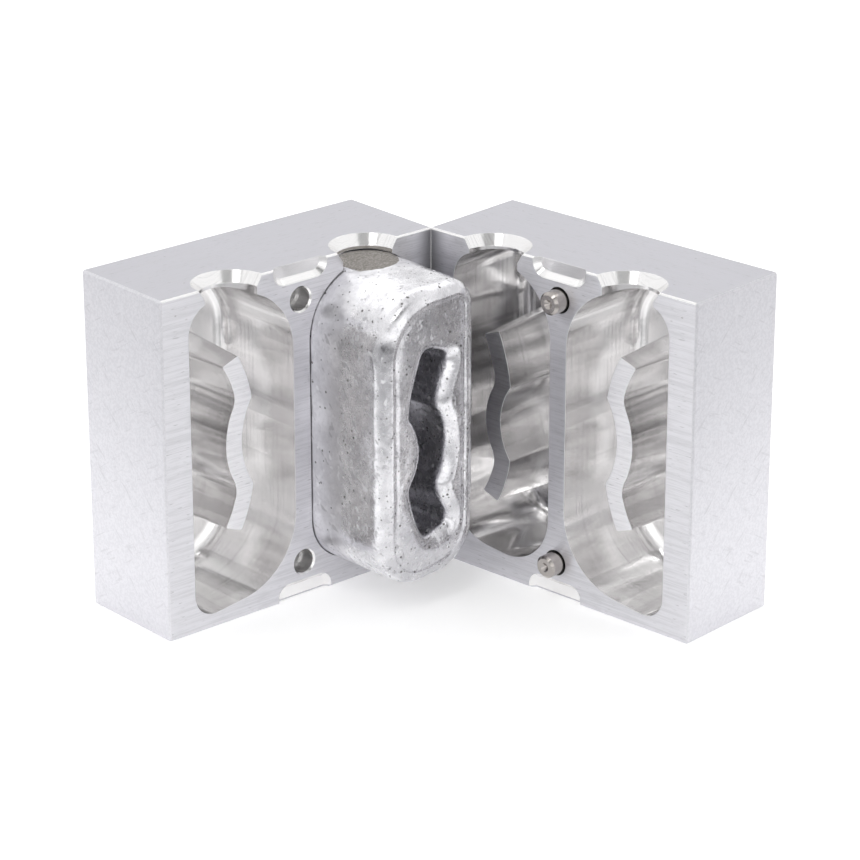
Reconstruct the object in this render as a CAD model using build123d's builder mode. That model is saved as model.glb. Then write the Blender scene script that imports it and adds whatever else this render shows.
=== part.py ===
from build123d import *
from math import cos, radians, sin, tan
import os

os.makedirs("parts", exist_ok=True)

# Driving dimensions, in millimetres and degrees

# The two blocks
block_width = 116.0
block_height = 120.0
block_thickness = 42.5
edge_break = 0.6
opening_angle = 96.0  # between the mating faces, as the mould stands open
standing_gap = 0.05  # between the two blocks where they stand corner to corner

# One cavity, measured from its straight side next to the web
web = 7.0  # metal left between the two cavities of a block
cavity_width = 43.5
cavity_depth = 36.5
roof_depth = 4.8  # metal left above the cavity
roof_radius = 24.0  # beside the web, as the heel radius
shoulder_radius = 10.5  # on the outer side, as the toe radius
outer_toe_height = 4.0  # the bottom of an outer cavity rises towards the web
outer_toe_radius = 8.0
outer_heel_height = 9.8
outer_heel_radius = 26.0
inner_toe_height = 12.0  # and that of an inner cavity falls towards it
inner_toe_radius = 18.0
inner_heel_height = 7.0
inner_heel_radius = 18.0
floor_fillet = 5.2
draft = 0.6

# The wavy core that stands in each cavity and leaves the slot in the sinker. Its two crests
# point to the web and its two ends bend away from it. The wave of the inner cavities is
# shorter and lower, and it stands nearer the web.
core_width = 6.6
core_draft = 3.6
core_fillet = 5.4
foot_gap = 0.2  # least flat floor between the fillets of the core and of the cavity
outer_core_share = 1.0  # how far across the room that its foot leaves the core stands
outer_core_below = 28.0  # from the toe's height to the core's lower end
outer_core_above = 21.2  # from the core's upper end to the roof
outer_crests = (0.745, 0.255)  # along the core, as shares of its length
inner_core_share = 0.85
inner_core_below = 16.0
inner_core_above = 25.2
inner_crests = (0.694, 0.26)
crest_radius = 1.2
hollow_gap = 0.7  # left of the hollows' radius at the foot, beyond the fillet
waist_sag = 4.5
end_lean = 5.4
end_sag = 0.7
end_slope = 2.4
end_radius = 0.6

# Pouring funnels, half in each block
funnel_offset = 29.2  # from the middle of the block
funnel_radius = 13.2
neck_radius = 10.8
cone_height = 3.8
neck_height = 4.0

# Dowels, in the middle of the block near its top and bottom
dowel_diameter = 8.0
dowel_inset = 12.6
dowel_seat = 18.0
dowel_reach = 5.6
dowel_chamfer = 0.9
dimple_radius = 1.7
dimple_depth = 1.4
press_gap = 0.02
mouth_chamfer = 0.6

# Sockets for the dowels in the other block, reamed over a drilled hole
socket_gap = 0.1
reamed_depth = 6.6
drilled_radius = 3.3
drilled_depth = 9.5

# Pry slots in the middle of the top and bottom edges
pry_width = 23.2
pry_height = 6.3
pry_depth = 2.0
pry_radius = 5.0

# Slope of the pry slots' sides and of the chamfers around the dowel holes
bevel_angle = 45.0

# The cast sinker is smaller than its cavity, as the metal shrinks
cast_gap = 0.3
sprue_cut = 1.3  # below the foot of the cone

# The blocks stand close together along their broken edges, so the corners of the mating faces
# overlap a little. The origin lies under the middle of the whole.
turn = radians(opening_angle)
step = Vector(-sin(turn / 2), cos(turn / 2), 0) * (2 * edge_break * cos(turn / 2) - standing_gap)
right_end = step.X + block_thickness * sin(turn) - block_width * cos(turn)
front_end = step.Y - block_width * sin(turn)
socket_corner = Vector((block_width - right_end) / 2, -(front_end + block_thickness) / 2, 0)
pin_corner = socket_corner + step

# Mating faces: x runs along the block, y is up and z goes into the block
socket_face = Plane(origin=socket_corner, x_dir=(-1, 0, 0), z_dir=(0, 1, 0))
pin_face = Plane(
    origin=pin_corner,
    x_dir=(cos(turn), sin(turn), 0),
    z_dir=(sin(turn), -cos(turn), 0),
)
block_middle = block_width / 2
roof_height = block_height - roof_depth
cone_foot = block_height - cone_height
dowel_heights = [dowel_inset, block_height - dowel_inset]

# The draft makes a core wider at its foot, where the fillets around it need room as well
core_growth = cavity_depth * tan(radians(core_draft))
foot_room = core_growth + core_fillet + foot_gap + floor_fillet + cavity_depth * tan(radians(draft))
spare_room = cavity_width - core_width - end_lean - 2 * foot_room
hollow_radius = core_fillet + core_growth + hollow_gap


class Cavity:
    # One cavity in the mating face of a block. The blocks are mirror images, so hand is 1 on the
    # socket half and -1 on the pin half. Side is 1 for the outer cavity and -1 for the inner one.
    def __init__(self, hand, side):
        self.face = socket_face if hand > 0 else pin_face
        self.hand = hand
        self.side = side
        outer = side > 0
        share = outer_core_share if outer else inner_core_share
        self.toe_height = outer_toe_height if outer else inner_toe_height
        self.toe_radius = outer_toe_radius if outer else inner_toe_radius
        self.heel_height = outer_heel_height if outer else inner_heel_height
        self.heel_radius = outer_heel_radius if outer else inner_heel_radius
        self.core_inset = foot_room + share * spare_room
        self.core_foot = self.toe_height + (outer_core_below if outer else inner_core_below)
        self.core_top = roof_height - (outer_core_above if outer else inner_core_above)
        core_length = self.core_top - self.core_foot
        levels = outer_crests if outer else inner_crests
        self.crests = [self.core_foot + level * core_length for level in levels]

    def point(self, across, height):
        return (self.hand * (block_middle + self.side * (web / 2 + across)), height)

    def wave(self, shift, longer):
        # The end, crest, crest and end of one long side of the core, from the top down
        inset = self.core_inset + shift
        return [
            self.point(inset + end_lean, self.core_top + longer),
            self.point(inset, self.crests[0]),
            self.point(inset, self.crests[1]),
            self.point(inset + end_lean, self.core_foot - longer),
        ]


def floor_edges(form, face, way, inner):
    # The edges around the floor of a cavity, or around the foot of its core
    floor = form.faces().filter_by(face).sort_by(Axis(face.origin, face.z_dir * way))[-1]
    wires = floor.inner_wires() if inner else [floor.outer_wire()]
    return [edge for wire in wires for edge in wire.edges()]


def cavity_form(cavity, way=1, gap=0.0):
    # The metal that fills one cavity, less a gap. Way is 1 into the block and -1 out of it.
    face = cavity.face
    bow = -cavity.hand * cavity.side
    near = cavity.wave(-gap, gap)
    far = cavity.wave(core_width + gap, gap - end_slope)
    radii = (cavity.heel_radius, roof_radius, shoulder_radius, cavity.toe_radius)
    with BuildPart() as form:
        with BuildSketch(face):
            with BuildLine():
                FilletPolyline(
                    cavity.point(gap, cavity.heel_height + gap),
                    cavity.point(gap, roof_height - gap),
                    cavity.point(cavity_width - gap, roof_height - gap),
                    cavity.point(cavity_width - gap, cavity.toe_height + gap),
                    radius=[r - gap for r in radii],
                    close=True,
                )
            make_face()
        extrude(amount=way * (cavity_depth - gap), taper=draft)
        fillet(floor_edges(form, face, way, inner=False), floor_fillet - gap)

        with BuildSketch(face) as core:
            with BuildLine():
                SagittaArc(near[0], near[1], bow * end_sag)
                SagittaArc(near[1], near[2], -bow * waist_sag)
                SagittaArc(near[2], near[3], bow * end_sag)
                Line(near[3], far[3])
                SagittaArc(far[3], far[2], -bow * end_sag)
                SagittaArc(far[2], far[1], bow * waist_sag)
                SagittaArc(far[1], far[0], -bow * end_sag)
                Line(far[0], near[0])
            make_face()
            for corner_set, radius in (
                (near[1:3], crest_radius + gap),
                (far[1:3], hollow_radius - gap),
                ([near[0], near[3], far[0], far[3]], end_radius + gap),
            ):
                fillet([core.vertices().sort_by_distance(spot)[0] for spot in corner_set], radius)
        extrude(amount=way * cavity_depth, taper=-core_draft, mode=Mode.SUBTRACT)
        fillet(floor_edges(form, face, way, inner=True), core_fillet - gap)
    return form.part


def funnel_form(cavity):
    # The cone and neck through which a cavity is filled, turned about a line on the mating face
    spot = cavity.hand * (block_middle + cavity.side * funnel_offset)
    with BuildPart() as form:
        with BuildSketch(cavity.face):
            with BuildLine():
                Polyline(
                    (spot, cone_foot - neck_height),
                    (spot + neck_radius, cone_foot - neck_height),
                    (spot + neck_radius, cone_foot),
                    (spot + funnel_radius, block_height),
                    (spot, block_height),
                    close=True,
                )
            make_face()
        revolve(axis=Axis(cavity.face.from_local_coords((spot, 0, 0)), (0, 0, 1)))
    return form.part


def half_block(hand):
    # One block with its two cavities, their funnels and the pry slots
    cavities = [Cavity(hand, 1), Cavity(hand, -1)]
    face = cavities[0].face
    hollows = [cavity_form(cavity) for cavity in cavities]
    hollows += [funnel_form(cavity) for cavity in cavities]
    with BuildPart() as block:
        with BuildSketch(face):
            with Locations((hand * block_middle, block_height / 2)):
                Rectangle(block_width, block_height)
        extrude(amount=block_thickness)
        chamfer(block.edges(), edge_break)
        add(hollows, mode=Mode.SUBTRACT)
        with BuildSketch(face):
            with Locations((hand * block_middle, 0), (hand * block_middle, block_height)):
                RectangleRounded(pry_width, 2 * pry_height, pry_radius)
        extrude(amount=pry_depth, taper=bevel_angle, mode=Mode.SUBTRACT)
    return block.part


# The block with the reamed sockets
socket_block = half_block(1)
socket_spots = [(block_middle, height) for height in dowel_heights]
socket_radius = dowel_diameter / 2 + socket_gap
with BuildPart() as socket_half:
    add(socket_block)
    with BuildSketch(socket_face):
        with Locations(*socket_spots):
            Circle(socket_radius)
    extrude(amount=reamed_depth, mode=Mode.SUBTRACT)
    with BuildSketch(socket_face):
        with Locations(*socket_spots):
            Circle(drilled_radius)
    extrude(amount=drilled_depth, mode=Mode.SUBTRACT)
    with BuildSketch(socket_face):
        with Locations(*socket_spots):
            Circle(socket_radius + mouth_chamfer)
    extrude(amount=mouth_chamfer, taper=bevel_angle, mode=Mode.SUBTRACT)

# The block with the dowels pressed in
pin_block = half_block(-1)
pin_spots = [(-block_middle, height) for height in dowel_heights]
seat_radius = dowel_diameter / 2 + press_gap
with BuildPart() as pin_half:
    add(pin_block)
    with BuildSketch(pin_face):
        with Locations(*pin_spots):
            Circle(seat_radius)
    extrude(amount=dowel_seat, mode=Mode.SUBTRACT)
    with BuildSketch(pin_face):
        with Locations(*pin_spots):
            Circle(seat_radius + mouth_chamfer)
    extrude(amount=mouth_chamfer, taper=bevel_angle, mode=Mode.SUBTRACT)


def dowel(spot):
    # A pin from its free end to the bottom of its seat, with a centre dimple in the free end
    on_end = (Align.CENTER, Align.CENTER, Align.MIN)
    with BuildPart(pin_face.offset(-dowel_reach)) as pin:
        with Locations(spot):
            Cylinder(dowel_diameter / 2, dowel_reach + dowel_seat, align=on_end)
        chamfer(pin.edges().filter_by(GeomType.CIRCLE), dowel_chamfer)
        with Locations(spot):
            Cone(dimple_radius, 0, dimple_depth, align=on_end, mode=Mode.SUBTRACT)
    return pin.part


# The sinker, still lying in the inner cavity of the socket half
filled = Cavity(1, -1)
cast_halves = [cavity_form(filled, way=way, gap=cast_gap) for way in (1, -1)]
sprue_spot = socket_face.from_local_coords((block_middle - funnel_offset, 0, 0))
with BuildPart() as cast_sinker:
    add(cast_halves)
    with BuildSketch(Plane.XY.offset(cone_foot - sprue_cut)):
        with Locations((sprue_spot.X, sprue_spot.Y)):
            Circle(neck_radius - cast_gap)
    extrude(amount=sprue_cut - neck_height)

pieces = {
    "socket_half": socket_half.part,
    "pin_half": pin_half.part,
    "dowel_pin_lower": dowel(pin_spots[0]),
    "dowel_pin_upper": dowel(pin_spots[1]),
    "cast_sinker": cast_sinker.part,
}
for name, piece in pieces.items():
    piece.label = name
    export_step(piece, "parts/" + name + ".step")
    print(name, round(piece.volume), "mm3", "valid" if piece.is_valid else "not valid")
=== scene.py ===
import math

import bpy
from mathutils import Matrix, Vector, noise


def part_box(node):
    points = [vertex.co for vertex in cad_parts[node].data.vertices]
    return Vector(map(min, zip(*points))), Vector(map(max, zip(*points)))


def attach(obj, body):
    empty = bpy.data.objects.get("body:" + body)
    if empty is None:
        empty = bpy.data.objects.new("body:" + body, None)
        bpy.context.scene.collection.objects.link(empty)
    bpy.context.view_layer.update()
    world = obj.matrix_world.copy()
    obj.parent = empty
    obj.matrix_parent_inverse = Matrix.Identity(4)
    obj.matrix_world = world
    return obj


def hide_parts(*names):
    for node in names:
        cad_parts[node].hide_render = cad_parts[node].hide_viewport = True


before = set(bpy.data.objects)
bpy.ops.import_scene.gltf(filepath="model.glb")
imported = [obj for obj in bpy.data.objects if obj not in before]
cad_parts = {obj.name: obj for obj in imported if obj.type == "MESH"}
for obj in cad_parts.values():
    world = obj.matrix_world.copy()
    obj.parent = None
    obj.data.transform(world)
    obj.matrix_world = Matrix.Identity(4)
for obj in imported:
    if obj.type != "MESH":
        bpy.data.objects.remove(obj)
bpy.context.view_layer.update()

mm = 0.001

# One block of the mould, in millimetres, as the solids have it
block = {
    "width": 116.0,
    "height": 120.0,
    "thickness": 42.5,
    "opening": math.radians(96),
    "brokenEdge": 0.6,
    "standingGap": 0.05,
    "web": 7.0,
    "coneFoot": 116.2,
    "dowels": (12.6, 107.4),
    "socketReach": 4.3,
}
cavity = {"width": 43.5, "roof": 115.2, "islandLow": 26.0, "islandHigh": 95.0}

# Corners of the two mating faces, on the ground
socketLow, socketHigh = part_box("socket_half")
socketCorner = Vector((socketHigh.x, socketLow.y, 0))
halfTurn = block["opening"] / 2
closeUp = 2 * block["brokenEdge"] * math.cos(halfTurn) - block["standingGap"]
pinCorner = socketCorner + Vector((-math.sin(halfTurn), math.cos(halfTurn), 0)) * closeUp * mm


def addNode(tree, kind, feeds=None, **settings):
    made = tree.nodes.new("ShaderNode" + kind)
    for key, value in settings.items():
        setattr(made, key, value)
    for slot, feed in (feeds or {}).items():
        if isinstance(feed, bpy.types.NodeSocket):
            tree.links.new(feed, made.inputs[slot])
        else:
            made.inputs[slot].default_value = feed
    return made


def calc(tree, operation, first, second=0.0, third=0.0):
    return addNode(tree, "Math", {0: first, 1: second, 2: third}, operation=operation).outputs[0]


def times(tree, *factors):
    product = factors[0]
    for factor in factors[1:]:
        product = calc(tree, "MULTIPLY", product, factor)
    return product


def ease(tree, value, low, high, start=0.0, end=1.0):
    # Smooth step from start to end as the value goes from low to high
    feeds = {"Value": value, "From Min": low, "From Max": high, "To Min": start, "To Max": end}
    return addNode(tree, "MapRange", feeds, interpolation_type="SMOOTHSTEP").outputs[0]


def mixColor(tree, share, base, top):
    return addNode(tree, "Mix", {0: share, 6: base, 7: top}, data_type="RGBA").outputs[2]


def mixValue(tree, share, base, top):
    return addNode(tree, "Mix", {0: share, 2: base, 3: top}, data_type="FLOAT").outputs[0]


def mixVector(tree, share, base, top):
    return addNode(tree, "Mix", {0: share, 4: base, 5: top}, data_type="VECTOR").outputs[1]


def vectors(tree, operation, first, second=(0.0, 0.0, 0.0)):
    made = addNode(tree, "VectorMath", {0: first, 1: second}, operation=operation).outputs
    return made["Value" if operation in ("LENGTH", "DISTANCE", "DOT_PRODUCT") else "Vector"]


def stretch(tree, place, factors):
    return vectors(tree, "MULTIPLY", place, factors)


def grain(tree, place, factors, detail=3.0, roughness=0.55):
    feeds = {"Vector": stretch(tree, place, factors), "Detail": detail, "Roughness": roughness}
    return addNode(tree, "TexNoise", {"Scale": 1.0, **feeds}).outputs["Fac"]


def placeOnBlock(tree, corner, turn, hand):
    # Place in millimetres along a block, into it and up, and the way the surface faces there
    coordinates = addNode(tree, "TexCoord").outputs
    fromCorner = vectors(tree, "SUBTRACT", coordinates["Object"], corner)
    made = []
    for vector, scale in ((fromCorner, 1 / mm), (coordinates["Normal"], 1.0)):
        feeds = {"Vector": vector, "Angle": -turn}
        turned = addNode(tree, "VectorRotate", feeds, rotation_type="Z_AXIS").outputs[0]
        made.append(stretch(tree, turned, (-scale, hand * scale, scale)))
    return made


def makeGroup(name, inputs, outputs):
    group = bpy.data.node_groups.new(name, "ShaderNodeTree")
    for way, sockets in (("INPUT", inputs), ("OUTPUT", outputs)):
        for label, kind, value in sockets:
            socket = group.interface.new_socket(label, in_out=way, socket_type="NodeSocket" + kind)
            if value is not None:
                socket.default_value = value
    source = group.nodes.new("NodeGroupInput")
    sink = group.nodes.new("NodeGroupOutput")
    return group, source.outputs, sink.inputs


def useGroup(tree, group, feeds=None):
    return addNode(tree, "Group", feeds, node_tree=group).outputs


# Rounded edges that catch the light, and a mask along them
edgeGroup, source, sink = makeGroup(
    "edge_glint",
    [("Radius", "Float", 0.0003)],
    [("Normal", "Vector", None), ("Edge", "Float", None)],
)
rounded = addNode(edgeGroup, "Bevel", {"Radius": source["Radius"]}, samples=3).outputs[0]
plain = addNode(edgeGroup, "NewGeometry").outputs["Normal"]
same = vectors(edgeGroup, "DOT_PRODUCT", rounded, plain)
edgeGroup.links.new(rounded, sink["Normal"])
edgeGroup.links.new(ease(edgeGroup, same, 0.995, 0.9), sink["Edge"])

# Long fine marks left by a brush or cutter, with a few deeper ones among them
brushGroup, source, sink = makeGroup(
    "brushed_marks",
    [("Place", "Vector", (0, 0, 0)), ("Stretch", "Vector", (1, 1, 1))],
    [("Height", "Float", None), ("Deep", "Float", None)],
)
stretched = stretch(brushGroup, source["Place"], source["Stretch"])
fine = grain(brushGroup, stretched, (1.0, 1.0, 1.0), 4.0, 0.65)
coarse = grain(brushGroup, stretched, (0.31, 0.31, 0.31), 2.0, 0.5)
brushGroup.links.new(mixValue(brushGroup, 0.4, fine, coarse), sink["Height"])
deep = grain(brushGroup, stretched, (0.57, 0.83, 0.57), 1.0, 0.5)
brushGroup.links.new(ease(brushGroup, deep, 0.66, 0.74), sink["Deep"])

# Small pits and specks: one round spot in some of the cells of a loose grid
pitGroup, source, sink = makeGroup(
    "pits",
    [
        ("Place", "Vector", (0, 0, 0)),
        ("Cell", "Float", 2.0),
        ("Size", "Float", 0.2),
        ("Share", "Float", 0.3),
    ],
    [("Pit", "Float", None)],
)
density = calc(pitGroup, "DIVIDE", 1.0, source["Cell"])
cells = addNode(pitGroup, "TexVoronoi", {"Vector": source["Place"], "Scale": density}).outputs
reach = times(pitGroup, source["Size"], density)
spot = calc(pitGroup, "LESS_THAN", cells["Distance"], reach)
pick = addNode(pitGroup, "SeparateColor", {0: cells["Color"]}).outputs[0]
picked = calc(pitGroup, "LESS_THAN", pick, source["Share"])
pitGroup.links.new(times(pitGroup, spot, picked), sink["Pit"])

# Straight scratches in one direction, a few of them per cell
scratchGroup, source, sink = makeGroup(
    "scratches",
    [
        ("Place", "Vector", (0, 0, 0)),
        ("Turn", "Vector", (0, 0, 0)),
        ("Length", "Float", 6.0),
        ("Width", "Float", 0.12),
    ],
    [("Scratch", "Float", None)],
)
swirl = grain(scratchGroup, source["Place"], (0.05, 0.05, 0.05), 1.0)
bend = vectors(scratchGroup, "ADD", source["Place"], swirl)
feeds = {"Vector": bend, "Rotation": source["Turn"]}
turned = addNode(scratchGroup, "VectorRotate", feeds, rotation_type="EULER_XYZ").outputs[0]
lengthways = calc(scratchGroup, "DIVIDE", 1.0, source["Length"])
across = calc(scratchGroup, "DIVIDE", 0.16, source["Width"])
feeds = {"X": lengthways, "Y": across, "Z": across}
squeeze = addNode(scratchGroup, "CombineXYZ", feeds).outputs[0]
lines = grain(scratchGroup, turned, squeeze, 1.5, 0.5)
scratchGroup.links.new(ease(scratchGroup, lines, 0.64, 0.72), sink["Scratch"])
print("shared effects built")


def startMaterial(name, metallic=1.0):
    material = bpy.data.materials.new(name)
    material.use_nodes = True
    shader = material.node_tree.nodes["Principled BSDF"]
    shader.inputs["Metallic"].default_value = metallic
    return material, material.node_tree, shader


# Milled aluminium: colours and roughness of each kind of face, as the cutter and brush left it, and
# the colours of painted shade and a painted glint
aluminium = {
    "cavity": ((0.88, 0.872, 0.872, 1), (0.93, 0.922, 0.922, 1)),
    "matingFace": (0.82, 0.815, 0.85, 1),
    "island": (0.88, 0.875, 0.90, 1),
    "sides": ((0.73, 0.725, 0.76, 1), (0.79, 0.785, 0.82, 1)),
    "top": (0.57, 0.565, 0.60, 1),
    "dullMark": (0.62, 0.61, 0.61, 1),
    "dullPass": (0.60, 0.595, 0.595, 1),
    "brightLine": (0.97, 0.965, 0.96, 1),
    "streak": (0.52, 0.52, 0.54, 1),
    "dash": (0.40, 0.40, 0.41, 1),
    "stain": (0.55, 0.55, 0.56, 1),
    "pit": (0.28, 0.27, 0.26, 1),
    "stroke": (0.48, 0.475, 0.50, 1),
    "paintedBoreShade": (0.40, 0.395, 0.39, 1),
    "glint": (0.95, 0.95, 0.95, 1),
    "paintedCornerShade": (0.30, 0.30, 0.31, 1),
    "cavityRoughness": (0.10, 0.15),
    "faceRoughness": 0.38,
    "islandRoughness": 0.34,
    "sideRoughness": 0.46,
    "topRoughness": 0.42,
    "coneRoughness": 0.20,
    "spread": 0.9,
    "glintRadius": 0.3 * mm,
    "markDepth": 0.03 * mm,
}
# How strongly each kind of mark, painted shade and painted glint covers the colour under it
cover = {
    "dullMark": 0.5,
    "dullPass": 0.42,
    "brightLine": 0.4,
    "streak": 0.35,
    "dash": 0.5,
    "stain": 0.25,
    "pit": 0.6,
    "stroke": 0.22,
    "paintedBoreShade": 0.5,
    "glint": 0.6,
    "paintedCornerShade": 0.75,
}
# Marks per millimetre along the block, into it and up: they are long where the number is small
pace = {
    "brushed": (0.07, 2.6, 2.6),
    "dashes": (0.42, 2.9, 2.9),
    "milled": (0.05, 3.2, 0.05),
    "facets": (0.42, 0.004, 0.42),
    "passes": (0.065, 0.001, 0.065),
    "passLines": (0.9, 0.003, 0.9),
    "clouds": (0.06, 0.06, 0.06),
    "speckle": (1.1, 1.1, 1.1),
    "stains": (0.11, 0.3, 0.3),
}
# Each direction of sanding strokes has a slant, a length and a width
sanding = (((2.36, 0.0, -1.57), 9.0, 0.17), ((0.5, 0.1, -1.5), 11.0, 0.15))
# How near a face a point counts as on it, in millimetres, and how squarely it has to look its way
limits = {
    "flush": 0.08,
    "level": 0.05,
    "besideWall": 1.5,
    "underFace": 0.7,
    "offBack": 1.0,
    "squarely": 0.9,
}


def blockMaterial(name, corner, turn, hand):
    # One block's aluminium, placed by its corner, its turn on the ground and its hand
    material, tree, shader = startMaterial(name)
    place, facing = placeOnBlock(tree, corner, turn, hand)
    along, into, up = addNode(tree, "SeparateXYZ", {0: place}).outputs
    facing = addNode(tree, "SeparateXYZ", {0: facing}).outputs

    # Masks: the mating face, the cores' islands on it, the top, the outside, the funnels and the
    # dowel holes' painted shade
    shallow = calc(tree, "LESS_THAN", into, limits["flush"])
    flush = times(tree, shallow, calc(tree, "LESS_THAN", facing["Y"], -limits["squarely"]))
    fromMiddle = calc(tree, "ABSOLUTE", calc(tree, "SUBTRACT", along, block["width"] / 2))
    cavityMiddle = (block["web"] + cavity["width"]) / 2
    fromCavity = calc(tree, "ABSOLUTE", calc(tree, "SUBTRACT", fromMiddle, cavityMiddle))
    inside = calc(tree, "LESS_THAN", fromCavity, cavity["width"] / 2 - limits["besideWall"])
    overLow = calc(tree, "GREATER_THAN", up, cavity["islandLow"])
    underHigh = calc(tree, "LESS_THAN", up, cavity["islandHigh"])
    island = times(tree, flush, inside, times(tree, overLow, underHigh))
    rim = block["brokenEdge"] + limits["level"]
    upmost = calc(tree, "GREATER_THAN", up, block["height"] - limits["level"])
    top = times(tree, upmost, calc(tree, "GREATER_THAN", facing["Z"], limits["squarely"]))
    ends = calc(tree, "GREATER_THAN", fromMiddle, block["width"] / 2 - rim)
    behind = calc(tree, "GREATER_THAN", into, block["thickness"] - rim)
    beneath = calc(tree, "LESS_THAN", up, rim)
    outside = calc(tree, "MAXIMUM", calc(tree, "MAXIMUM", ends, behind), beneath)
    plate = calc(tree, "SUBTRACT", flush, island)
    above = calc(tree, "GREATER_THAN", up, block["coneFoot"] + 0.01)
    sockets = []
    sideways = calc(tree, "SUBTRACT", along, block["width"] / 2)
    for level in block["dowels"]:
        feeds = {"X": sideways, "Z": calc(tree, "SUBTRACT", up, level)}
        offset = addNode(tree, "CombineXYZ", feeds).outputs[0]
        fromAxis = vectors(tree, "LENGTH", offset)
        sockets.append(calc(tree, "LESS_THAN", fromAxis, block["socketReach"]))
    underFace = calc(tree, "GREATER_THAN", into, limits["underFace"])
    offBack = calc(tree, "LESS_THAN", into, block["thickness"] - limits["offBack"])
    # The walls of the dowel holes are painted darker, as painted shade
    paintedBoreShade = times(tree, calc(tree, "MAXIMUM", *sockets), times(tree, underFace, offBack))

    # Brush marks run along the block on the mating face and the top, with short dark dashes
    brushed = useGroup(tree, brushGroup, {"Place": place, "Stretch": pace["brushed"]})
    dashes = useGroup(tree, brushGroup, {"Place": place, "Stretch": pace["dashes"]})["Deep"]
    # Cutter marks inside a cavity keep one depth, so they run down its straight walls
    milled = useGroup(tree, brushGroup, {"Place": place, "Stretch": pace["milled"]})
    # and each pass left a facet that runs into the block, some bright and some dull
    facets = grain(tree, place, pace["facets"], 1.0, 0.6)
    passes = ease(tree, grain(tree, place, pace["passes"], 1.5, 0.6), 0.455, 0.475)
    passLines = ease(tree, grain(tree, place, pace["passLines"], 1.0, 0.5), 0.60, 0.66)
    # Outside faces are sanded in short strokes
    strokes = []
    for slant, length, width in sanding:
        feeds = {"Place": place, "Turn": slant, "Length": length, "Width": width}
        strokes.append(useGroup(tree, scratchGroup, feeds)["Scratch"])
    strokes = calc(tree, "MAXIMUM", *strokes)
    feeds = {"Place": stretch(tree, place, (0.45, 1.0, 1.0)), "Cell": 2.6, "Size": 0.2, "Share": 0.16}
    pits = useGroup(tree, pitGroup, feeds)["Pit"]
    clouds = grain(tree, place, pace["clouds"], 3.0)
    speckle = ease(tree, grain(tree, place, pace["speckle"], 3.0, 0.6), 0.38, 0.62)
    stains = ease(tree, grain(tree, place, pace["stains"], 4.0, 0.6), 0.52, 0.72)

    color = mixColor(tree, clouds, *aluminium["cavity"])
    color = mixColor(tree, flush, color, aluminium["matingFace"])
    color = mixColor(tree, island, color, aluminium["island"])
    color = mixColor(tree, outside, color, mixColor(tree, speckle, *aluminium["sides"]))
    color = mixColor(tree, top, color, aluminium["top"])
    marked = calc(tree, "MAXIMUM", flush, top)
    hollow = calc(tree, "SUBTRACT", 1.0, calc(tree, "MAXIMUM", marked, outside))
    dulled = times(tree, hollow, ease(tree, milled["Height"], 0.50, 0.36), cover["dullMark"])
    color = mixColor(tree, dulled, color, aluminium["dullMark"])
    upright = calc(tree, "GREATER_THAN", facing["Y"], -0.8)
    walls = times(tree, hollow, upright, ease(tree, up, 112.0, 106.0))
    dullPasses = times(tree, walls, calc(tree, "SUBTRACT", 1.0, passes), cover["dullPass"])
    color = mixColor(tree, dullPasses, color, aluminium["dullPass"])
    streaks = times(tree, marked, ease(tree, brushed["Height"], 0.56, 0.40))
    marks = {
        "brightLine": (walls, passLines),
        "streak": (streaks,),
        "dash": (marked, dashes),
        "stain": (plate, stains),
        "pit": (marked, pits),
        "stroke": (outside, strokes),
        "paintedBoreShade": (paintedBoreShade,),
    }
    for mark, masks in marks.items():
        color = mixColor(tree, times(tree, *masks, cover[mark]), color, aluminium[mark])
    # The corner of the V is painted darker as painted shade, and its edges there, too deep in it to
    # glint, get no painted glint
    edges = useGroup(tree, edgeGroup, {"Radius": aluminium["glintRadius"]})
    glint = times(tree, edges["Edge"], ease(tree, along, 0.8, 3.0), cover["glint"])
    color = mixColor(tree, glint, color, aluminium["glint"])
    # Painted shade: the colour darkens near the face towards the corner of the V, below the top
    nearFace = calc(tree, "LESS_THAN", into, 1.0)
    paintedCornerShade = times(tree, nearFace, ease(tree, along, 9.0, 0.0), cover["paintedCornerShade"])
    paintedCornerShade = times(tree, paintedCornerShade, ease(tree, up, block["height"], block["height"] - 1.0))
    color = mixColor(tree, paintedCornerShade, color, aluminium["paintedCornerShade"])
    tree.links.new(color, shader.inputs["Base Color"])

    coneFace = times(tree, above, hollow)
    roughness = mixValue(tree, clouds, *aluminium["cavityRoughness"])
    roughness = calc(tree, "ADD", roughness, times(tree, milled["Height"], 0.06))
    faces = {"face": flush, "island": island, "side": outside, "top": top, "cone": coneFace}
    for finish, mask in faces.items():
        roughness = mixValue(tree, mask, roughness, aluminium[finish + "Roughness"])
    roughness = calc(tree, "ADD", roughness, times(tree, brushed["Height"], marked, 0.08))
    tree.links.new(roughness, shader.inputs["Roughness"])

    # Light spreads across the marks: into the block in a cavity, up the cone in a funnel
    normal = addNode(tree, "NewGeometry").outputs["Normal"]
    alongWay = (-math.cos(turn), -math.sin(turn), 0.04)
    intoWay = Vector((-math.sin(turn), math.cos(turn), 0)) * hand + Vector((0, 0, 0.04))
    acrossMarks = vectors(tree, "CROSS_PRODUCT", normal, alongWay)
    flat = calc(tree, "MAXIMUM", marked, outside)
    spread = mixVector(tree, flat, tuple(intoWay), acrossMarks)
    spread = mixVector(tree, coneFace, spread, (0.0, 0.0, 1.0))
    tree.links.new(spread, shader.inputs["Tangent"])
    shader.inputs["Anisotropic"].default_value = aluminium["spread"]

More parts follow.
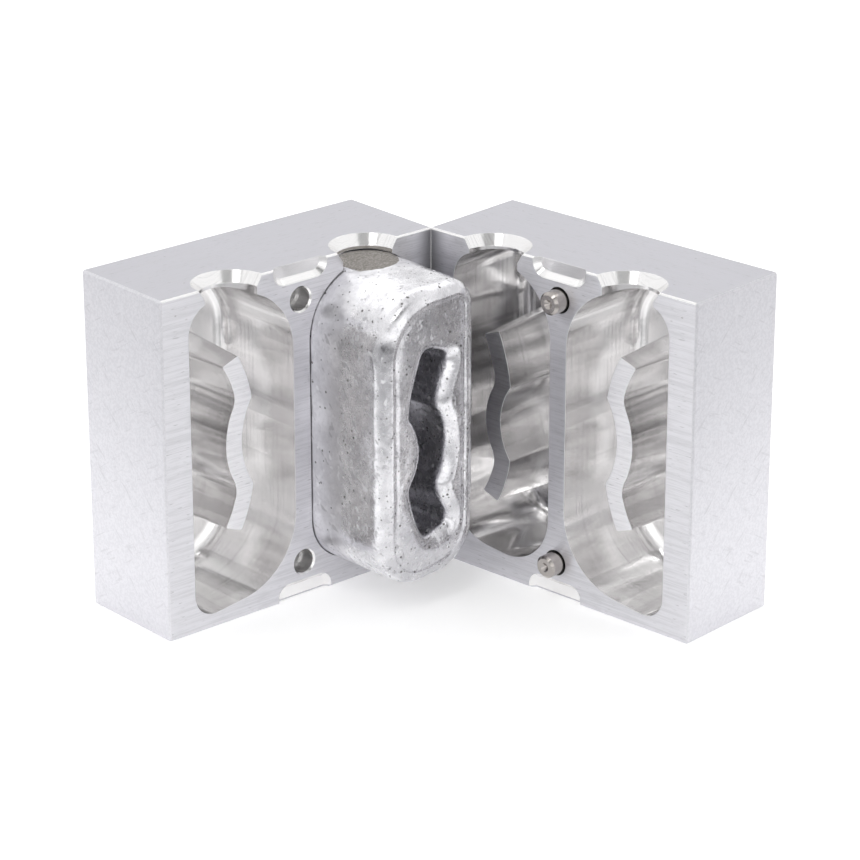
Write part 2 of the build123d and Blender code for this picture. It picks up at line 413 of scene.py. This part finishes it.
    cutting = calc(tree, "ADD", times(tree, milled["Height"], 0.3), times(tree, facets, 1.2))
    height = mixValue(tree, flat, cutting, times(tree, brushed["Height"], 1.2))
    height = calc(tree, "SUBTRACT", height, times(tree, marked, dashes, 0.5))
    height = mixValue(tree, outside, height, times(tree, strokes, -1.2))
    height = calc(tree, "SUBTRACT", height, times(tree, marked, pits, 0.8))
    feeds = {"Height": height, "Strength": 0.35, "Distance": aluminium["markDepth"]}
    bump = addNode(tree, "Bump", {"Normal": edges["Normal"], **feeds})
    tree.links.new(bump.outputs[0], shader.inputs["Normal"])
    return material


# Ground steel with a warm cast, and the black ring of shadow and oil where a dowel enters
dowelSteel = {
    "body": ((0.37, 0.345, 0.33, 1), (0.50, 0.47, 0.45, 1)),
    "ring": (0.03, 0.03, 0.03, 1),
    "roughness": (0.14, 0.24),
    "turningDepth": 0.01 * mm,
}


def steelMaterial():
    material, tree, shader = startMaterial("ground_steel")
    place = placeOnBlock(tree, pinCorner, block["opening"], -1.0)[0]
    rings = grain(tree, place, (0.3, 6.0, 0.3), 2.0)
    clouds = grain(tree, place, (0.4, 0.4, 0.4), 3.0)
    color = mixColor(tree, clouds, *dowelSteel["body"])
    into = addNode(tree, "SeparateXYZ", {0: place}).outputs["Y"]
    ring = times(tree, ease(tree, into, -0.9, -0.05), 0.9)
    tree.links.new(mixColor(tree, ring, color, dowelSteel["ring"]), shader.inputs["Base Color"])
    tree.links.new(mixValue(tree, clouds, *dowelSteel["roughness"]), shader.inputs["Roughness"])
    feeds = {"Height": rings, "Strength": 0.3, "Distance": dowelSteel["turningDepth"]}
    tree.links.new(addNode(tree, "Bump", feeds).outputs[0], shader.inputs["Normal"])
    return material


# The casting in millimetres: where its sprue stands along the block and the radius of its cut, the
# height of its bottom beside the web and on the outer side, and a dent in its front corner, which
# also holds a painted dark reflection
cast = {
    "sprue": block["width"] / 2 - 29.2,
    "cut": 10.7,
    "heel": 7.0,
    "toe": 12.0,
    "dentAndDarkReflection": (53.5, -36.0, 97.0),
    "dentDepth": 0.8,
    "dentWidth": 3.0,
}
# Lead as it leaves the mould: bright, wrinkled and pitted, with scratches on its flat sides. Its
# front is painted darker low down, as painted shade, and its dent near black, as a painted dark
# reflection
brightLead = {
    "body": ((0.66, 0.655, 0.68, 1), (0.89, 0.885, 0.91, 1)),
    "mottle": (0.46, 0.455, 0.48, 1),
    "lowFrontShade": (0.48, 0.475, 0.50, 1),
    "dentAndDarkReflection": (0.09, 0.09, 0.10, 1),
    "darkScratch": (0.40, 0.395, 0.41, 1),
    "brightScratch": (0.93, 0.93, 0.95, 1),
    "pit": (0.10, 0.095, 0.09, 1),
    "sawn": ((0.20, 0.185, 0.17, 1), (0.40, 0.38, 0.36, 1)),
    "roughness": (0.18, 0.30),
    "scratchRoughness": 0.45,
    "heldRoughness": 0.42,
    "sawnRoughness": 0.6,
    "markDepth": 0.12 * mm,
}
# How strongly each kind of mark, the painted shade and the painted reflection cover the colour under
# it
leadCover = {
    "mottle": 0.3,
    "lowFrontShade": 0.6,
    "dentAndDarkReflection": 0.85,
    "darkScratch": 0.5,
    "brightScratch": 0.7,
    "pit": 0.9,
}
# Each direction of scratches has a slant, a length and a width
leadScratches = (
    ((2.36, 0.0, -1.57), 4.5, 0.34),
    ((2.1, 0.35, -1.4), 3.2, 0.36),
    ((-0.9, 0.4, 0.8), 6.0, 0.26),
)


def leadMaterial():
    material, tree, shader = startMaterial("bright_cast_lead")
    place, facing = placeOnBlock(tree, socketCorner, 0.0, 1.0)
    along, into, up = addNode(tree, "SeparateXYZ", {0: place}).outputs
    facing = addNode(tree, "SeparateXYZ", {0: facing}).outputs
    feeds = {"X": calc(tree, "SUBTRACT", along, cast["sprue"]), "Y": into}
    sprue = addNode(tree, "CombineXYZ", feeds).outputs[0]
    fromSprue = vectors(tree, "LENGTH", sprue)
    edge = calc(tree, "ADD", fromSprue, times(tree, grain(tree, place, (0.5, 0.5, 0.5)), 0.8))
    level = calc(tree, "GREATER_THAN", facing["Z"], 0.6)
    cut = times(tree, ease(tree, edge, cast["cut"] + 0.4, cast["cut"]), level)

    clouds = grain(tree, place, (0.12, 0.12, 0.12), 4.0, 0.6)
    mottle = grain(tree, place, (0.55, 0.55, 0.55), 4.0, 0.62)
    crinkle = grain(tree, place, (1.7, 1.7, 1.7), 4.0, 0.65)
    feeds = {"Place": place, "Cell": 3.0, "Size": 0.42, "Share": 0.42}
    largePits = useGroup(tree, pitGroup, feeds)["Pit"]
    shifted = stretch(tree, place, (1.0, 1.0, 1.03))
    feeds = {"Place": shifted, "Cell": 1.7, "Size": 0.27, "Share": 0.42}
    smallPits = useGroup(tree, pitGroup, feeds)["Pit"]
    holes = calc(tree, "MAXIMUM", largePits, smallPits)
    # Marks of handling, most of them slanting down towards the front
    marks = []
    for slant, length, width in leadScratches:
        feeds = {"Place": place, "Turn": slant, "Length": length, "Width": width}
        marks.append(useGroup(tree, scratchGroup, feeds)["Scratch"])
    scratches = calc(tree, "MAXIMUM", calc(tree, "MAXIMUM", marks[0], marks[1]), marks[2])

    color = mixColor(tree, ease(tree, clouds, 0.3, 0.7), *brightLead["body"])
    fromDentReflection = vectors(tree, "DISTANCE", place, cast["dentAndDarkReflection"])
    masks = {
        "mottle": ease(tree, mottle, 0.5, 0.75),
        # Painted shade: the front darkens towards its bottom
        "lowFrontShade": times(tree, ease(tree, up, 48.0, 14.0), ease(tree, facing["Y"], -0.5, -0.9)),
        # Painted dark reflection: the lead around the dent is painted near black
        "dentAndDarkReflection": ease(tree, calc(tree, "ADD", fromDentReflection, times(tree, mottle, 3.0)), 8.5, 3.5),
        "darkScratch": marks[0],
        "brightScratch": marks[1],
        "pit": holes,
    }
    for mark, mask in masks.items():
        color = mixColor(tree, times(tree, mask, leadCover[mark]), color, brightLead[mark])
    sawn = mixColor(tree, ease(tree, crinkle, 0.42, 0.6), *brightLead["sawn"])
    color = mixColor(tree, cut, color, sawn)
    tree.links.new(color, shader.inputs["Base Color"])

    # It is duller near the block that held it
    roughness = ease(tree, mottle, 0.3, 0.7, *brightLead["roughness"])
    roughness = mixValue(tree, scratches, roughness, brightLead["scratchRoughness"])
    held = ease(tree, into, -20.0, -6.0)
    roughness = mixValue(tree, held, roughness, brightLead["heldRoughness"])
    roughness = mixValue(tree, cut, roughness, brightLead["sawnRoughness"])
    tree.links.new(roughness, shader.inputs["Roughness"])

    wrinkles = times(tree, crinkle, mixValue(tree, cut, 0.06, 1.4))
    height = calc(tree, "ADD", times(tree, mottle, 0.22), wrinkles)
    height = calc(tree, "SUBTRACT", height, times(tree, holes, 1.0))
    height = calc(tree, "SUBTRACT", height, times(tree, scratches, 0.5))
    feeds = {"Height": height, "Strength": 0.6, "Distance": brightLead["markDepth"]}
    tree.links.new(addNode(tree, "Bump", feeds).outputs[0], shader.inputs["Normal"])
    return material


aluminiumSocket = blockMaterial("milled_aluminium_socket", socketCorner, 0.0, 1.0)
aluminiumPin = blockMaterial("milled_aluminium_pin", pinCorner, block["opening"], -1.0)
steel = steelMaterial()
lead = leadMaterial()
for name, material in (
    ("socket_half", aluminiumSocket),
    ("pin_half", aluminiumPin),
    ("dowel_pin_lower", steel),
    ("dowel_pin_upper", steel),
):
    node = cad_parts[name]
    node.data.materials.clear()
    node.data.materials.append(material)
print("blocks and dowels finished")

# The casting's skin, a denser mesh of the solid with waves, wrinkles, flow lines and a crease
# along its front's rim. Depths and distances are in millimetres, softening in rounds.
skin = {
    "voxel": 0.8,
    "softening": 14,
    "wave": 0.22,
    "ripple": 0.03,
    "flow": 0.18,
    "crease": 0.25,
    "creaseInset": (5.2, 6.8),
    "creaseWidth": 0.7,
    "highest": 0.3,
    "highestInCavity": 0.1,
}
# The corners of the sinker's front and their radii, in millimetres
frontCorners = (
    ("web", "top", 24.0),
    ("web", "bottom", 18.0),
    ("outer", "top", 10.5),
    ("outer", "bottom", 18.0),
)


def faceInset(across, up):
    # How far a point on the sinker's front lies inside its outline, in millimetres
    width = cavity["width"]
    bottom = up - cast["heel"] - (cast["toe"] - cast["heel"]) * across / width
    sides = {"web": across, "outer": width - across, "top": cavity["roof"] - up, "bottom": bottom}
    inset = min(sides.values())
    for side, end, radius in frontCorners:
        near, far = radius - sides[side], radius - sides[end]
        if near > 0 and far > 0:
            inset = min(inset, radius - math.hypot(near, far))
    return inset


def bell(value, middle, width):
    return math.exp(-(((value - middle) / width) ** 2))


def skinHeight(place, normal):
    # Raised or sunk height of the skin at one point, in millimetres on the socket half
    slow = noise.noise(place * 0.11)
    ripple = noise.fractal(place * 0.45, 0.9, 2.1, 3)
    warped = place + noise.noise_vector(place * 0.07) * 9
    fold = noise.noise(Vector((warped.x * 0.10, warped.y * 0.10, warped.z * 0.045)))
    height = skin["wave"] * slow + skin["ripple"] * ripple
    height -= skin["flow"] * bell(fold, 0.0, 0.028) * (0.5 + 0.5 * slow)
    height -= cast["dentDepth"] * bell((place - Vector(cast["dentAndDarkReflection"])).length, 0.0, cast["dentWidth"])
    front = min(1.0, max(0.0, (-normal.y - 0.55) * 4))
    if front > 0:
        across = block["width"] / 2 - block["web"] / 2 - place.x
        inset = faceInset(across, place.z) + 0.5 * noise.noise(place * 0.08)
        raised, sunk = (bell(inset, middle, skin["creaseWidth"]) for middle in skin["creaseInset"])
        height += skin["crease"] * front * (raised - 0.8 * sunk)
    return height


def castSkin():
    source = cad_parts["cast_sinker"]
    mesh = source.data.copy()
    mesh.name = "cast_skin"
    piece = bpy.data.objects.new("cast_skin", mesh)
    bpy.context.scene.collection.objects.link(piece)
    remesh = piece.modifiers.new("skin", "REMESH")
    remesh.mode = "VOXEL"
    remesh.voxel_size = skin["voxel"] * mm
    snap = piece.modifiers.new("snap", "SHRINKWRAP")
    snap.target = source
    snap.wrap_method = "NEAREST_SURFACEPOINT"
    smooth = piece.modifiers.new("smooth", "SMOOTH")
    smooth.factor = 0.4
    made = []  # a skin that keeps the mould's form, and a softer one
    for rounds in (2, skin["softening"]):
        smooth.iterations = rounds
        depsgraph = bpy.context.evaluated_depsgraph_get()
        made.append(bpy.data.meshes.new_from_object(piece.evaluated_get(depsgraph)))
    finished, softened = made
    piece.modifiers.clear()
    piece.data = finished
    bpy.data.meshes.remove(mesh)
    # The skin is soft where it lay free, and true to the mould where it still rests in it
    for vertex, soft in zip(finished.vertices, softened.vertices):
        free = min(1.0, max(0.0, (socketCorner.y / mm - vertex.co.y / mm - 2) / 8))
        vertex.co = vertex.co.lerp(soft.co, free)
    bpy.data.meshes.remove(softened)
    finished.update()
    normals = [vertex.normal.copy() for vertex in finished.vertices]
    for vertex, normal in zip(finished.vertices, normals):
        offset = (vertex.co - socketCorner) / mm
        place = Vector((-offset.x, offset.y, offset.z))
        inCavity = min(1.0, max(0.0, (offset.y + 1.5) / 1.5))
        height = skinHeight(place, normal)
        highest = skin["highest"] + (skin["highestInCavity"] - skin["highest"]) * inCavity
        vertex.co += normal * min(height, highest) * mm
    finished.polygons.foreach_set("use_smooth", [True] * len(finished.polygons))
    finished.materials.clear()
    finished.materials.append(lead)
    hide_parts("cast_sinker")
    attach(piece, "root")
    print("casting finished,", len(finished.polygons), "faces")


castSkin()

# The camera looks along the middle of the open V, from above its open side. Its aim lies by
# the corner of the V, in millimetres.
view = {
    "azimuth": math.radians(-41.4),
    "elevation": math.radians(21.5),
    "distance": 1.210,
    "aim": (-0.98, -0.04, 46.05),
    "lens": 145.6,
    "sensor": 36.0,
}
front = Vector((math.sin(view["azimuth"]), -math.cos(view["azimuth"]), 0))
side = Vector((-front.y, front.x, 0))

# A wide pale floor, which the metal shows darker farther away, where it leaves the lit table
table = {
    "reach": 4.0,
    "sheet": ((0.93, 0.93, 0.93, 1), (0.96, 0.96, 0.96, 1)),
    "unlit": (0.45, 0.45, 0.46, 1),
    "litTo": (0.27, 0.10),
    "lift": 0.3,
    "roughness": 0.7,
}
quarters = ((-1, -1), (1, -1), (1, 1), (-1, 1))
corners = [(x * table["reach"], y * table["reach"], 0) for x, y in quarters]
floorMesh = bpy.data.meshes.new("floor")
floorMesh.from_pydata(corners, [], [(0, 1, 2, 3)])
floor = bpy.data.objects.new("floor", floorMesh)
bpy.context.scene.collection.objects.link(floor)
paper, tree, shader = startMaterial("white_paper", 0.0)
ground = addNode(tree, "TexCoord").outputs["Object"]
fibres = grain(tree, ground, (300.0, 300.0, 300.0), 2.0)
sheet = mixColor(tree, fibres, *table["sheet"])
# Seen directly or in the metal the paper is lifted to white, and keeps the shadow on it
rays = addNode(tree, "LightPath").outputs
fromCorner = vectors(tree, "SUBTRACT", ground, socketCorner)
distance = vectors(tree, "DOT_PRODUCT", fromCorner, front)
near = ease(tree, distance, *table["litTo"])
near = calc(tree, "MAXIMUM", near, rays["Is Camera Ray"])
tree.links.new(mixColor(tree, near, table["unlit"], sheet), shader.inputs["Base Color"])
shader.inputs["Roughness"].default_value = table["roughness"]
lifted = times(tree, calc(tree, "MAXIMUM", rays["Is Camera Ray"], rays["Is Glossy Ray"]), near)
shader.inputs["Emission Color"].default_value = (1.0, 1.0, 1.0, 1)
tree.links.new(times(tree, lifted, table["lift"]), shader.inputs["Emission Strength"])
floor.data.materials.append(paper)
print("floor laid")

# The studio is a white tent: darker high up on the camera's side, brighter high up behind the
# mould and low down in front of it
studio = {"plain": 1.0, "bright": 1.6, "glow": 0.4, "dark": 0.25}
world = bpy.data.worlds.new("studio")
bpy.context.scene.world = world
world.use_nodes = True
tree = world.node_tree
way = addNode(tree, "TexCoord").outputs["Generated"]


def towards(direction):
    return vectors(tree, "DOT_PRODUCT", way, direction)


ahead = towards(front)
height = towards(Vector((0, 0, 1)))
sideways = calc(tree, "ABSOLUTE", towards(side))
overFront = times(tree, ease(tree, ahead, 0.2, 0.4), ease(tree, height, 0.9, 0.8))
dark = times(tree, overFront, ease(tree, height, 0.58, 0.65), ease(tree, sideways, 0.5, 0.35))
behind = ease(tree, ahead, -0.1, -0.45)
bright = times(tree, behind, ease(tree, height, 0.58, 0.68), ease(tree, height, 0.92, 0.84))
glow = times(tree, ease(tree, ahead, 0.45, 0.7), ease(tree, height, 0.46, 0.36))
level = mixValue(tree, bright, studio["plain"], studio["bright"])
level = calc(tree, "ADD", level, times(tree, glow, studio["glow"]))
level = mixValue(tree, dark, level, studio["dark"])
seen = addNode(tree, "LightPath").outputs
level = mixValue(tree, seen["Is Camera Ray"], level, 1.0)
background = tree.nodes["Background"]
tree.links.new(level, background.inputs["Strength"])
background.inputs["Color"].default_value = (1.0, 1.0, 1.0, 1)


def softBox(name, place, aim, width, height, power):
    lamp = bpy.data.lights.new(name, "AREA")
    lamp.shape = "RECTANGLE"
    lamp.size = width
    lamp.size_y = height
    lamp.energy = power
    lampObject = bpy.data.objects.new(name, lamp)
    lampObject.location = place
    lampObject.rotation_euler = (Vector(aim) - Vector(place)).to_track_quat("-Z", "Y").to_euler()
    bpy.context.scene.collection.objects.link(lampObject)


softBox("front_light", (-0.75, -0.35, 1.35), (0, 0, 0.06), 0.5, 0.5, 2.5)
print("studio lit")

camera = bpy.data.cameras.new("camera")
camera.lens = view["lens"]
camera.sensor_width = view["sensor"]
camera.clip_start = 0.05
camera.clip_end = 20.0
cameraObject = bpy.data.objects.new("camera", camera)
bpy.context.scene.collection.objects.link(cameraObject)
viewTarget = socketCorner + Vector(view["aim"]) * mm
backwards = front * math.cos(view["elevation"]) + Vector((0, 0, math.sin(view["elevation"])))
cameraObject.location = viewTarget + backwards * view["distance"]
cameraObject.rotation_euler = (-backwards).to_track_quat("-Z", "Y").to_euler()
bpy.context.scene.camera = cameraObject
bpy.context.scene.view_settings.view_transform = "Standard"

# Light goes back and forth between polished walls, so reflections are followed further. Pixels
# that have settled stop early, which keeps a long render short.
cycles = bpy.context.scene.cycles
cycles.glossy_bounces = 6
cycles.adaptive_min_samples = 24
cycles.adaptive_threshold = 0.04
print("camera placed")
